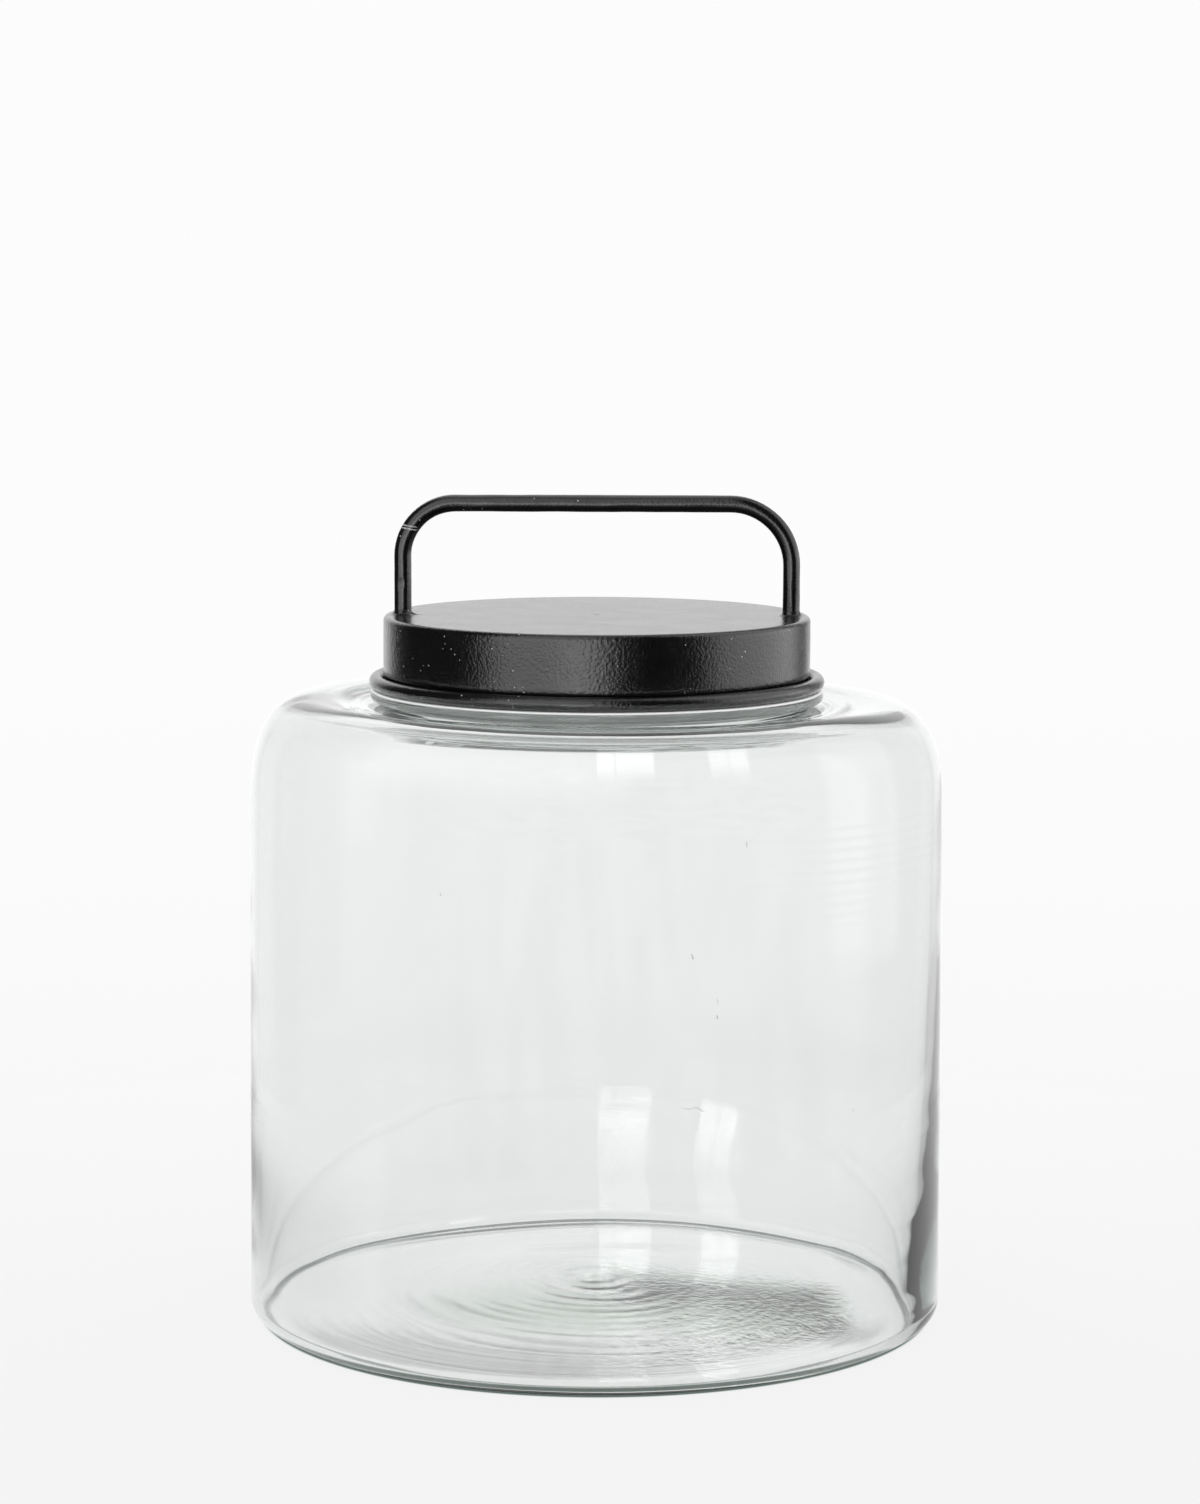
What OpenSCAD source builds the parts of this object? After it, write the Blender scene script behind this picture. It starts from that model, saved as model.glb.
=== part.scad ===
// Lidded storage jar: a heavy hand-blown glass body with a flat, crowned
// shoulder and a low flanged mouth, closed by a drum-shaped steel lid that
// carries a bent-rod handle and sits in a soft ring seal.
// Origin: centre of the resting circle under the base. +Z up, +X along the handle.

/* [Jar] */
// Largest outside diameter, just above the base
jar_d = 254.3; // [220:0.1:300]
// Height of the crown of the shoulder
shoulder_z = 226.6; // [180:0.1:280]
// How far the radius draws in between base and shoulder corner
wall_taper = 1.1; // [0:0.1:3]
// Glass thickness of the side wall
wall_t = 3.2; // [2.5:0.1:4.5]
// Radial width of the shoulder's rounded corner
corner_w = 23; // [15:0.5:30]
// Height of the shoulder's rounded corner
corner_h = 37.6; // [20:0.1:50]
// Fullness of the shoulder corner: 2 is an ellipse, more is squarer
corner_n = 2.5; // [2:0.1:3]
// How far the shoulder dips between its crown and the neck
shoulder_dip = 2.6; // [0:0.1:4]

/* [Base] */
// Outside radius of the bottom edge
base_edge_r = 6; // [3:0.5:9]
// Inner radius of the flat ring that the jar stands on
rest_in_r = 108; // [80:1:112]
// Height of the kick-up under the middle of the base
kick_h = 3; // [1:0.1:5]
// Height of the inside floor next to the wall
floor_edge_z = 5.2; // [4:0.1:7]
// Height of the inside floor at its middle
floor_mid_z = 11; // [8:0.1:14]

/* [Mouth] */
// Diameter of the mouth's bore
mouth_d = 146; // [130:0.1:150]
// Outside diameter of the glass flange round the mouth
flange_d = 165; // [158:0.1:170]
// Thickness of the flange at its outer edge
flange_t = 3.6; // [3:0.1:5]
// Outside diameter of the waist under the flange
waist_d = 155.6; // [154:0.1:157]
// Height of the ground top face of the flange
rim_z = 229.7; // [229.4:0.1:230.5]

/* [Lid] */
// Outside diameter of the drum
drum_d = 155.4; // [150:0.1:156]
// Height of the drum's side, foot to top face
drum_h = 26.5; // [18:0.1:40]
// Radius of the drum's top edge
drum_edge_r = 1.8; // [1:0.1:4]
// Sheet thickness of the drum and of the plate under it
sheet_t = 1; // [0.8:0.1:1.5]
// Diameter of the round rod that makes the ring at the drum's foot
ring_rod_d = 5.2; // [4:0.1:5.4]
// How far the plate's downturned lip reaches below the plate
lip_h = 1.3; // [0.8:0.1:2]
// How far the lid is lifted to clear the jar
lift = 120; // [40:1:200]

/* [Handle] */
// Diameter of the bent rod
rod_d = 6.3; // [5:0.1:8]
// Distance between the middles of the two feet
feet_gap = 141.2; // [100:0.1:142]
// Height of the handle above the drum's top face
handle_h = 43.7; // [35:0.1:60]
// Bend radius of the -X corner, to the middle of the rod
bend_left = 19.2; // [12:0.1:28]
// Bend radius of the +X corner, to the middle of the rod
bend_right = 22.4; // [12:0.1:28]
// Leg length of the weld fillet round each foot
weld_w = 1.9; // [1:0.1:2.2]

/* [Seal] */
// Thickness of the seal's flat flange
seal_t = 0.6; // [0.4:0.1:1]
// Outside diameter of the seal's flat flange
seal_d = 162.6; // [158:0.1:164]
// Depth of the seal's skirt below the rim
skirt_h = 6.4; // [4:0.1:7]
// Thickness of the skirt between its fins
skirt_t = 1.2; // [1:0.1:1.4]

/* [Hidden] */

jar_r = jar_d / 2;
corner_z = shoulder_z - corner_h;         // where the wall ends and the corner starts
crown_r = jar_r - wall_taper - corner_w;  // radius of the shoulder's highest circle
waist_r = waist_d / 2;
mouth_r = mouth_d / 2;
flange_r = flange_d / 2;
flange_low_z = rim_z - flange_t;
seat_z = rim_z + seal_t;                  // the lid's plate rests here
top_z = seat_z + drum_h;                  // top face of the drum
drum_r = drum_d / 2;
rod_r = rod_d / 2;
ring_r = ring_rod_d / 2;
run_gap = 0.1;                            // radial running clearance of the seal
lip_r = mouth_r - run_gap - 0.6 - skirt_t - run_gap;
handle_z = top_z + handle_h - rod_r;      // middle of the handle's cross bar

// points of a circular arc, from angle a0 to a1 in n steps
function arc(cx, cz, r, a0, a1, n) =
    [for (i = [0:n]) let (a = a0 + (a1 - a0) * i / n) [cx + r * cos(a), cz + r * sin(a)]];

// outside radius of the side wall at height z
function wall_r(z) = jar_r - wall_taper * pow(z / corner_z, 2.2);

// the wall, then the rounded corner, then the shoulder dipping to the neck
wall_out = [for (i = [0:6]) let (z = base_edge_r + (corner_z - base_edge_r) * i / 6) [wall_r(z), z]];
corner_out = [for (i = [1:14]) let (a = 90 * i / 14)
    [crown_r + corner_w * pow(cos(a), 2 / corner_n), corner_z + corner_h * pow(sin(a), 2 / corner_n)]];
dip_r0 = waist_r + 2.4;
dip_out = [for (i = [1:6]) let (t = i / 6)
    [crown_r + (dip_r0 - crown_r) * t, shoulder_z - shoulder_dip * pow(sin(90 * t), 2)]];
side_out = concat(wall_out, corner_out, dip_out);

// unit normal of a polyline at point i, to the outside
function nrm(p, i) =
    let (a = p[max(i - 1, 0)], b = p[min(i + 1, len(p) - 1)], d = b - a, l = norm(d)) [d[1] / l, -d[0] / l];
// glass thickness along the side: it grows a little towards the neck
side_in = [for (i = [0:len(side_out) - 1])
    let (t = i <= 6 ? wall_t : wall_t + 0.6 * (i - 6) / 20) side_out[i] - nrm(side_out, i) * t];

// outside, from the middle of the underside to the top of the flange
kick_out = [for (i = [0:7]) let (r = rest_in_r * i / 7) [r, kick_h * pow(cos(90 * r / rest_in_r), 2)]];
edge_out = arc(jar_r - base_edge_r, base_edge_r, base_edge_r, -90, -8, 6);
neck_z = shoulder_z - shoulder_dip;
neck_out = concat(
    [[waist_r + 0.7, neck_z + 0.25], [waist_r, neck_z + 1]],
    [[waist_r + 0.35, flange_low_z - 0.3], [waist_r + 1.2, flange_low_z]],
    arc(flange_r - 1.5, flange_low_z + 1.5, 1.5, -80, 0, 4),
    arc(flange_r - 1.2, rim_z - 1.2, 1.2, 0, 90, 4));

// inside, from the rim down to the middle of the floor
neck_in = concat(
    arc(mouth_r + 0.8, rim_z - 0.8, 0.8, 90, 180, 4),
    [[mouth_r, rim_z - skirt_h - 2.2]],
    arc(mouth_r + 2.6, rim_z - skirt_h - 2.2, 2.6, 192, 255, 3));
side_in_rev = [for (i = [len(side_in) - 3:-1:1]) side_in[i]];
fl_r = 7.5;
floor_r = jar_r - wall_t - fl_r;
edge_in = arc(floor_r, floor_edge_z + fl_r, fl_r, -2, -88, 7);
floor_in = [for (i = [1:9]) let (t = i / 9)
    [floor_r * (1 - t), floor_edge_z + (floor_mid_z - floor_edge_z) * pow(sin(90 * t), 2)]];

jar_profile = concat(kick_out, edge_out, side_out, neck_out, neck_in, side_in_rev, edge_in, floor_in);

// Hand-blown body: wall, shoulder, neck and flange are one gather of glass.
module glass_jar() {
    color([0.80, 0.86, 0.83, 0.35])
    rotate_extrude($fn = 192) polygon(jar_profile);
}

// Soft ring seal: a flat flange on the ground rim, a skirt into the mouth
// and two fins that wipe the bore.
module seal_ring() {
    so = mouth_r - run_gap;
    si = lip_r + run_gap;
    color([0.90, 0.91, 0.90, 0.7])
    rotate_extrude($fn = 192)
    polygon(concat(
        [[si, seat_z], [seal_d / 2, seat_z], [seal_d / 2, rim_z], [si + skirt_t, rim_z]],
        [for (k = [0:1]) let (zc = rim_z - 2.2 - 2.6 * k)
            each [[si + skirt_t, zc + 0.7], [so, zc + 0.2], [so, zc - 0.2], [si + skirt_t, zc - 0.7]]],
        [[si + skirt_t, rim_z - skirt_h + 0.4], [si + skirt_t - 0.4, rim_z - skirt_h], [si, rim_z - skirt_h]]));
}

// Drum: one pressed shell, open below, with a small radius round its top.
module lid_drum() {
    color([0.10, 0.10, 0.105])
    rotate_extrude($fn = 192)
    polygon(concat(
        [[drum_r - sheet_t, seat_z], [drum_r, seat_z]],
        arc(drum_r - drum_edge_r, top_z - drum_edge_r, drum_edge_r, 0, 90, 8),
        [[0, top_z], [0, top_z - sheet_t]],
        arc(drum_r - drum_edge_r, top_z - drum_edge_r, drum_edge_r - sheet_t, 90, 0, 5)));
}

// Round rod rolled to a hoop and welded round the drum's foot.
module lid_foot_ring() {
    color([0.10, 0.10, 0.105])
    translate([0, 0, seat_z + 0.05 + ring_r])
    rotate_extrude($fn = 192)
    translate([drum_r + ring_r, 0]) circle(r = ring_r, $fn = 48);
}

// Plate that closes the drum from below; its lip keeps the lid in the seal.
module lid_base_plate() {
    color([0.12, 0.12, 0.125])
    rotate_extrude($fn = 192)
    polygon([[0, seat_z + sheet_t], [drum_r - sheet_t, seat_z + sheet_t], [drum_r - sheet_t, seat_z],
             [lip_r, seat_z], [lip_r, seat_z - lip_h], [lip_r - 0.8, seat_z - lip_h],
             [lip_r - 0.8, seat_z], [0, seat_z]]);
}

// one corner of the handle: a quarter turn of rod, bending from the leg to the bar
module rod_bend(r) {
    rotate([90, 0, 0])
    rotate_extrude(angle = 90, $fn = 96)
    translate([r, 0]) circle(r = rod_r, $fn = 48);
}

// Handle: one round rod bent twice.
module handle_rod() {
    xl = feet_gap / 2;
    color([0.10, 0.10, 0.105]) {
        translate([xl, 0, top_z]) cylinder(r = rod_r, h = handle_z - bend_right - top_z, $fn = 48);
        translate([-xl, 0, top_z]) cylinder(r = rod_r, h = handle_z - bend_left - top_z, $fn = 48);
        translate([xl - bend_right, 0, handle_z - bend_right]) rod_bend(bend_right);
        translate([-xl + bend_left, 0, handle_z - bend_left]) mirror([1, 0, 0]) rod_bend(bend_left);
        translate([-xl + bend_left, 0, handle_z]) rotate([0, 90, 0])
            cylinder(r = rod_r, h = feet_gap - bend_left - bend_right, $fn = 48);
    }
}

// Fillet of weld metal round a foot, hollow in section.
module weld() {
    translate([0, 0, top_z])
    rotate_extrude($fn = 64)
    polygon(concat([[rod_r, 0]], arc(rod_r + weld_w, weld_w, weld_w, 270, 180, 6)));
}

module handle_weld_left() {
    color([0.10, 0.10, 0.105]) translate([-feet_gap / 2, 0, 0]) weld();
}

module handle_weld_right() {
    color([0.10, 0.10, 0.105]) translate([feet_gap / 2, 0, 0]) weld();
}

glass_jar();
seal_ring();
lid_drum();
lid_foot_ring();
lid_base_plate();
handle_rod();
handle_weld_left();
handle_weld_right();
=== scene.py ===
import math
import random

import bmesh
import bpy
import numpy as np
from mathutils import Matrix, Vector


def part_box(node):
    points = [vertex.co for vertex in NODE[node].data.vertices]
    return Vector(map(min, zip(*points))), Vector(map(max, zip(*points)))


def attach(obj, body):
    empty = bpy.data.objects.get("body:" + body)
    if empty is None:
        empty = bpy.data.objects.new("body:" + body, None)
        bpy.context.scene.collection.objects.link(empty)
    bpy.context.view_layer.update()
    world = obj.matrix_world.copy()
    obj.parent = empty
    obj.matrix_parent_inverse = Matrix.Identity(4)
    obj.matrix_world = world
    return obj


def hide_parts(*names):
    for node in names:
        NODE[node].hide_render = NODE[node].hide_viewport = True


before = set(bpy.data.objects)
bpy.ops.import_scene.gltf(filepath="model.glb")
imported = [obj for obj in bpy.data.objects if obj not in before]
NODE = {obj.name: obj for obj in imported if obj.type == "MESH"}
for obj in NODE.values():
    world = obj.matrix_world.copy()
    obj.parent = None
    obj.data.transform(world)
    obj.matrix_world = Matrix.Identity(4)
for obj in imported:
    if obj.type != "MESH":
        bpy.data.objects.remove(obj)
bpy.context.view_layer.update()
scene = bpy.context.scene

# ---------------------------------------------------------------- camera
# 36 mm long side on 1504 pixels, focal length 4096 pixels, 7.142 degrees down
PITCH, ROLL = math.radians(7.142), math.radians(0.2068)
cam_data = bpy.data.cameras.new("camera")
cam_data.sensor_fit = "AUTO"
cam_data.sensor_width = 36.0
cam_data.lens = 4096.0 * 36.0 / 1504.0
cam_data.clip_start, cam_data.clip_end = 0.05, 60.0
camera = bpy.data.objects.new("camera", cam_data)
scene.collection.objects.link(camera)
camera.matrix_world = (
    Matrix.Translation((0.00127, -1.485, 0.3926))
    @ Matrix.Rotation(math.pi / 2 - PITCH, 4, "X")
    @ Matrix.Rotation(ROLL, 4, "Z")
)
scene.camera = camera
scene.view_settings.view_transform = "Standard"
scene.view_settings.look = "None"
scene.cycles.max_bounces = 20
scene.cycles.transmission_bounces = 16
scene.cycles.glossy_bounces = 10
scene.cycles.diffuse_bounces = 3
scene.cycles.transparent_max_bounces = 12
scene.cycles.sample_clamp_indirect = 6.0
scene.cycles.use_denoising = True


# ---------------------------------------------------------------- node helpers
class Tree:
    """Small helper to write node trees."""

    def __init__(self, tree):
        self.t = tree
        tree.nodes.clear()

    def n(self, kind, **props):
        node = self.t.nodes.new(kind)
        for k, v in props.items():
            setattr(node, k, v)
        return node

    def link(self, a, b):
        self.t.links.new(a, b)

    def put(self, node, **values):
        for k, v in values.items():
            sock = node.inputs[k.replace("_", " ")] if k.replace("_", " ") in node.inputs else node.inputs[int(k[1:])]
            if isinstance(v, bpy.types.NodeSocket):
                self.link(v, sock)
            else:
                sock.default_value = v
        return node

    def m(self, op, a, b=None, c=None, clamp=False):
        node = self.n("ShaderNodeMath", operation=op, use_clamp=clamp)
        for i, v in enumerate((a, b, c)):
            if v is None:
                continue
            if isinstance(v, bpy.types.NodeSocket):
                self.link(v, node.inputs[i])
            else:
                node.inputs[i].default_value = v
        return node.outputs[0]

    def step(self, v, lo, hi, a=0.0, b=1.0, smooth=True):
        node = self.n("ShaderNodeMapRange")
        node.interpolation_type = "SMOOTHSTEP" if smooth else "LINEAR"
        node.clamp = True
        self.link(v, node.inputs["Value"])
        node.inputs["From Min"].default_value = lo
        node.inputs["From Max"].default_value = hi
        node.inputs["To Min"].default_value = a
        node.inputs["To Max"].default_value = b
        return node.outputs[0]

    def noise(self, vec, scale, detail=2.0, rough=0.5, out="Fac", dims="3D", distortion=0.0):
        node = self.n("ShaderNodeTexNoise", noise_dimensions=dims)
        if vec is not None:
            self.link(vec, node.inputs["Vector"])
        node.inputs["Scale"].default_value = scale
        node.inputs["Detail"].default_value = detail
        node.inputs["Roughness"].default_value = rough
        node.inputs["Distortion"].default_value = distortion
        return node.outputs[out]

    def mixc(self, fac, a, b, blend="MIX"):
        node = self.n("ShaderNodeMix", data_type="RGBA", blend_type=blend)
        for sock, v in ((node.inputs[0], fac), (node.inputs[6], a), (node.inputs[7], b)):
            if isinstance(v, bpy.types.NodeSocket):
                self.link(v, sock)
            else:
                sock.default_value = v if not isinstance(v, tuple) or len(v) == 4 else (*v, 1.0)
        return node.outputs[2]

    def bump(self, height, distance, strength=1.0, normal=None):
        node = self.n("ShaderNodeBump")
        node.inputs["Strength"].default_value = strength
        node.inputs["Distance"].default_value = distance
        self.link(height, node.inputs["Height"])
        if normal is not None:
            self.link(normal, node.inputs["Normal"])
        return node.outputs[0]


def material(name):
    mat = bpy.data.materials.new(name)
    mat.use_nodes = True
    t = Tree(mat.node_tree)
    out = t.n("ShaderNodeOutputMaterial")
    return mat, t, out


# ---------------------------------------------------------------- studio: world
world = bpy.data.worlds.new("studio")
scene.world = world
world.use_nodes = True
w = Tree(world.node_tree)
w_out = w.n("ShaderNodeOutputWorld")
w_dir = w.n("ShaderNodeTexCoord").outputs["Generated"]
w_sep = w.n("ShaderNodeSeparateXYZ")
w.link(w_dir, w_sep.inputs[0])
az = w.m("DEGREES", w.m("ARCTAN2", w_sep.outputs["X"], w.m("MULTIPLY", w_sep.outputs["Y"], -1.0)))
el = w.m("DEGREES", w.m("ARCSINE", w_sep.outputs["Z"]))


def band(t, v, lo, hi, soft):
    """1 between lo and hi, soft edges."""
    return t.m("MULTIPLY", t.step(v, lo - soft, lo + soft), t.step(v, hi - soft, hi + soft, 1.0, 0.0))


def over(t, under, value, mask):
    """value where mask is 1, under where it is 0."""
    return t.m("ADD", t.m("MULTIPLY", under, t.m("SUBTRACT", 1.0, mask)), t.m("MULTIPLY", mask, value))


BACK = 0.977
path = w.n("ShaderNodeLightPath")
one = w.m("MULTIPLY", az, 0.0)
sharp = path.outputs["Is Singular Ray"]
bounced = w.m("GREATER_THAN", path.outputs["Glossy Depth"], 0.5)
twice = w.m("GREATER_THAN", path.outputs["Glossy Depth"], 1.5)
scattered = w.m("GREATER_THAN", path.outputs["Diffuse Depth"], 0.5)

# the room as the satin black coat shows it: a bright left front, dark gaps, a pale wall on the right
room = w.m("ADD", one, 0.16)
low = w.m("MULTIPLY", w.step(el, 3, 14, 1.0, 0.62), w.step(el, -24, 2, 0.45, 1.40, smooth=False))
room = over(w, room, 0.02, band(w, az, -140, -64, 7))
room = over(w, room, w.m("MULTIPLY", low, 1.5), band(w, az, -60, 4, 6))
room = over(w, room, 3.0, w.m("MULTIPLY", band(w, az, -17, 1, 5), band(w, el, -14, 3, 6)))
room = over(w, room, 0.005, band(w, az, 12, 57, 5))
room = over(w, room, w.m("MULTIPLY", low, 1.3), band(w, az, 64, 134, 8))
room = over(w, room, 0.55, w.step(el, 55, 80))
room = over(w, room, BACK, w.m("MAXIMUM", w.step(az, 150, 164), w.step(az, -138, -155)))

# half-way direction between the view and its reflection: what sits where on an upright curved wall
half_h = w.m("DEGREES", w.m("ARCTAN2", w_sep.outputs["X"], w.m("SUBTRACT", 1.0, w_sep.outputs["Y"])))
side_len = w.m("SQRT", w.m("ADD", w.m("POWER", w_sep.outputs["X"], 2.0), w.m("POWER", w.m("SUBTRACT", 1.0, w_sep.outputs["Y"]), 2.0)))
half_v = w.m("DEGREES", w.m("ARCTAN2", w.m("ADD", w_sep.outputs["Z"], 0.12), side_len))


def panes(t, h, v, lo, hi, mid, base, top, gain, soft=0.25, bar=0.22):
    frame_bar = t.m("SUBTRACT", 1.0, t.m("MULTIPLY", band(t, h, mid - bar, mid + bar, 0.15), 0.6))
    return t.m("MULTIPLY", t.m("MULTIPLY", band(t, v, base, top, 1.0), t.m("MULTIPLY", band(t, h, lo, hi, soft), frame_bar)), gain)


# the room as clear glass shows it: even and pale, with two windows on the right and two on the left
calm = w.n("ShaderNodeTexNoise", noise_dimensions="2D")
where = w.n("ShaderNodeCombineXYZ")
w.link(w.m("MULTIPLY", half_h, 0.17), where.inputs[0])
w.link(w.m("MULTIPLY", el, 0.34), where.inputs[1])
w.link(where.outputs[0], calm.inputs["Vector"])
calm.inputs["Scale"].default_value = 1.0
calm.inputs["Detail"].default_value = 3.0
glass_room = w.m("ADD", w.m("MULTIPLY", w.step(calm.outputs["Fac"], 0.35, 0.66), 0.30), 0.82)
glass_room = over(w, glass_room, 1.12, w.m("MAXIMUM", w.step(half_h, -14, -38), w.step(half_h, 32, 48)))
glass_room = w.m("ADD", glass_room, w.m("MULTIPLY", w.m("MULTIPLY", band(w, half_h, -40, 2, 5), band(w, half_v, 12, 36, 6)), 0.7))
glass_room = w.m("ADD", glass_room, w.m("MULTIPLY", w.m("MULTIPLY", band(w, half_h, 41, 58, 1.5), w.m("MULTIPLY", band(w, half_v, -4, 33, 2), w.step(el, -9.7, -8.8))), 0.5))
high = w.m("MAXIMUM", panes(w, half_h, half_v, 0.3, 9.8, 3.3, 13, 37.5, 2.5), panes(w, half_h, half_v, 19.4, 26.4, 22.9, 13, 37.5, 2.1))
glass_room = w.m("ADD", glass_room, w.m("MULTIPLY", high, w.step(half_v, 13, 27)))
deep = w.m("MAXIMUM", panes(w, az, el, -20, -1.5, -7, 1, 38, 6.0, 0.8, 0.6), panes(w, az, el, -53, -39, -46, 1, 38, 6.0, 0.8, 0.6))
glass_room = w.m("ADD", glass_room, w.m("MULTIPLY", deep, twice))
# light that runs round inside the wall comes from behind: dimmer on the right, pale on the left
inside = w.m("GREATER_THAN", path.outputs["Transmission Depth"], 0.5)
glass_room = over(w, glass_room, 0.80, w.m("MULTIPLY", inside, w.m("MULTIPLY", w.step(az, 96, 108), w.step(az, 150, 165, 1.0, 0.0))))
glass_room = over(w, glass_room, 0.90, w.m("MULTIPLY", inside, band(w, az, -162, -114, 6)))

# straight and through the glass: a pale sweep, a little brighter towards the horizon
sweep = w.step(el, -17, -6, 0.905, BACK, smooth=False)
lum = over(w, room, glass_room, w.m("MULTIPLY", sharp, bounced))
lum = over(w, lum, 1.4, scattered)
direct = w.m("MULTIPLY", w.m("SUBTRACT", 1.0, bounced), w.m("SUBTRACT", 1.0, scattered))
lum = over(w, lum, sweep, direct)
bgn = w.n("ShaderNodeBackground")
bgn.inputs["Color"].default_value = (1, 1, 1, 1)
w.link(lum, bgn.inputs["Strength"])
w.link(bgn.outputs[0], w_out.inputs["Surface"])

# ---------------------------------------------------------------- studio: floor
FLOOR_Z = -0.0003


def disc(name, radius, z, rings=48, seg=128):
    bm = bmesh.new()
    rows = []
    for i in range(1, rings + 1):
        r = radius * (i / rings) ** 1.5
        rows.append([bm.verts.new((r * math.cos(2 * math.pi * k / seg), r * math.sin(2 * math.pi * k / seg), z)) for k in range(seg)])
    mid = bm.verts.new((0, 0, z))
    for k in range(seg):
        bm.faces.new((mid, rows[0][k], rows[0][(k + 1) % seg]))
        for a, b in zip(rows, rows[1:]):
            bm.faces.new((a[k], b[k], b[(k + 1) % seg], a[(k + 1) % seg]))
    me = bpy.data.meshes.new(name)
    bm.to_mesh(me)
    bm.free()
    ob = bpy.data.objects.new(name, me)
    scene.collection.objects.link(ob)
    return ob


floor = disc("floor", 0.45, FLOOR_Z)
mat, t, out = material("studio_floor")
pos = t.n("ShaderNodeNewGeometry").outputs["Position"]
p_sep = t.n("ShaderNodeSeparateXYZ")
t.link(pos, p_sep.inputs[0])
rad = t.n("ShaderNodeVectorMath", operation="LENGTH")
t.link(pos, rad.inputs[0])
rad = rad.outputs["Value"]
# pale sweep, rising towards the back as the world does
rise = t.step(p_sep.outputs["Y"], -0.13, 0.45, 0.905, 0.948, smooth=False)
# painted shade: the floor is 2% darker under the jar
rise = t.m("MULTIPLY", rise, t.step(rad, 0.112, 0.1215, 0.98, 1.0))


def spot(cx, cy, rx, ry, inner, outer):
    """1 inside an ellipse on the floor, fading from inner to outer (in radii)."""
    qx = t.m("DIVIDE", t.m("SUBTRACT", p_sep.outputs["X"], cx), rx)
    qy = t.m("DIVIDE", t.m("SUBTRACT", p_sep.outputs["Y"], cy), ry)
    return t.step(t.m("SQRT", t.m("ADD", t.m("MULTIPLY", qx, qx), t.m("MULTIPLY", qy, qy))), inner, outer, 1.0, 0.0)


# painted shadow of the lid and of the thick middle of the base on the floor, streaked round the axis, then a painted
# dark contact line where the glass stands
turn = t.m("ARCTAN2", p_sep.outputs["Y"], p_sep.outputs["X"])
swirl = t.n("ShaderNodeCombineXYZ")
t.link(t.m("MULTIPLY", rad, 150.0), swirl.inputs[0])
t.link(t.m("MULTIPLY", turn, 1.6), swirl.inputs[1])
# streaks that break up the painted shadow round the axis
grain = t.step(t.noise(swirl.outputs[0], 1.0, 3.0, 0.6), 0.25, 0.75, 0.6, 1.15)
shade = t.m("MULTIPLY", spot(0.052, -0.012, 0.050, 0.044, 0.45, 1.12), 0.16)
shade = t.m("MAXIMUM", shade, t.m("MULTIPLY", spot(-0.012, -0.012, 0.062, 0.044, 0.3, 1.1), 0.19))
rise = t.m("MULTIPLY", rise, t.m("SUBTRACT", 1.0, t.m("MULTIPLY", shade, grain)))
# painted contact shadow: a dark ring on the floor under the edge of the glass base
painted_contact_line = band(t, rad, 0.1190, 0.1236, 0.0008)
rise = over(t, rise, 0.15, painted_contact_line)
# what light inside the glass wall picks up from the floor at either side is dimmer
gloss = t.m("GREATER_THAN", t.n("ShaderNodeLightPath").outputs["Glossy Depth"], 0.5)
flank = t.m("MULTIPLY", gloss, t.m("MULTIPLY", t.step(t.m("ABSOLUTE", p_sep.outputs["X"]), 0.15, 0.22), t.step(rad, 0.27, 0.43, 1.0, 0.0)))
rise = t.m("MULTIPLY", rise, t.m("SUBTRACT", 1.0, t.m("MULTIPLY", flank, t.step(p_sep.outputs["X"], -0.1, 0.1, 0.38, 0.10))))
rise = over(t, rise, t.step(t.m("ABSOLUTE", p_sep.outputs["X"]), 0.26, 0.43, 0.97, 1.11), t.m("MULTIPLY", gloss, t.step(rad, 0.28, 0.44)))
em = t.n("ShaderNodeEmission")
# the painted shadow spots and the painted contact line are tinted green
painted_shadow_tint = t.mixc(t.m("MULTIPLY", shade, 6.0, clamp=True), (1.0, 1.0, 1.0), (0.935, 1.0, 0.930))
painted_shadow_tint = t.mixc(painted_contact_line, painted_shadow_tint, (0.80, 1.0, 0.90))
t.link(painted_shadow_tint, em.inputs["Color"])
t.link(rise, em.inputs["Strength"])
dif = t.n("ShaderNodeBsdfDiffuse")
dif.inputs["Color"].default_value = (0.8, 0.8, 0.8, 1)
mix = t.n("ShaderNodeMixShader")
t.link(t.step(rad, 0.13, 0.4, 0.06, 0.0), mix.inputs[0])
t.link(em.outputs[0], mix.inputs[1])
t.link(dif.outputs[0], mix.inputs[2])
t.link(mix.outputs[0], out.inputs["Surface"])
floor.data.materials.append(mat)


# ---------------------------------------------------------------- mesh helpers
def smoothstep(x, a, b):
    x = np.clip((x - a) / (b - a), 0, 1)
    return x * x * (3 - 2 * x)


def densify(points, step):
    """Polyline resampled so that no segment is longer than step (metres)."""
    out = [np.array(points[0], float)]
    for a, b in zip(points, points[1:]):
        a, b = np.array(a, float), np.array(b, float)
        n = max(1, int(math.ceil(np.linalg.norm(b - a) / step)))
        out += [a + (b - a) * i / n for i in range(1, n + 1)]
    return np.array(out)


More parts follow.
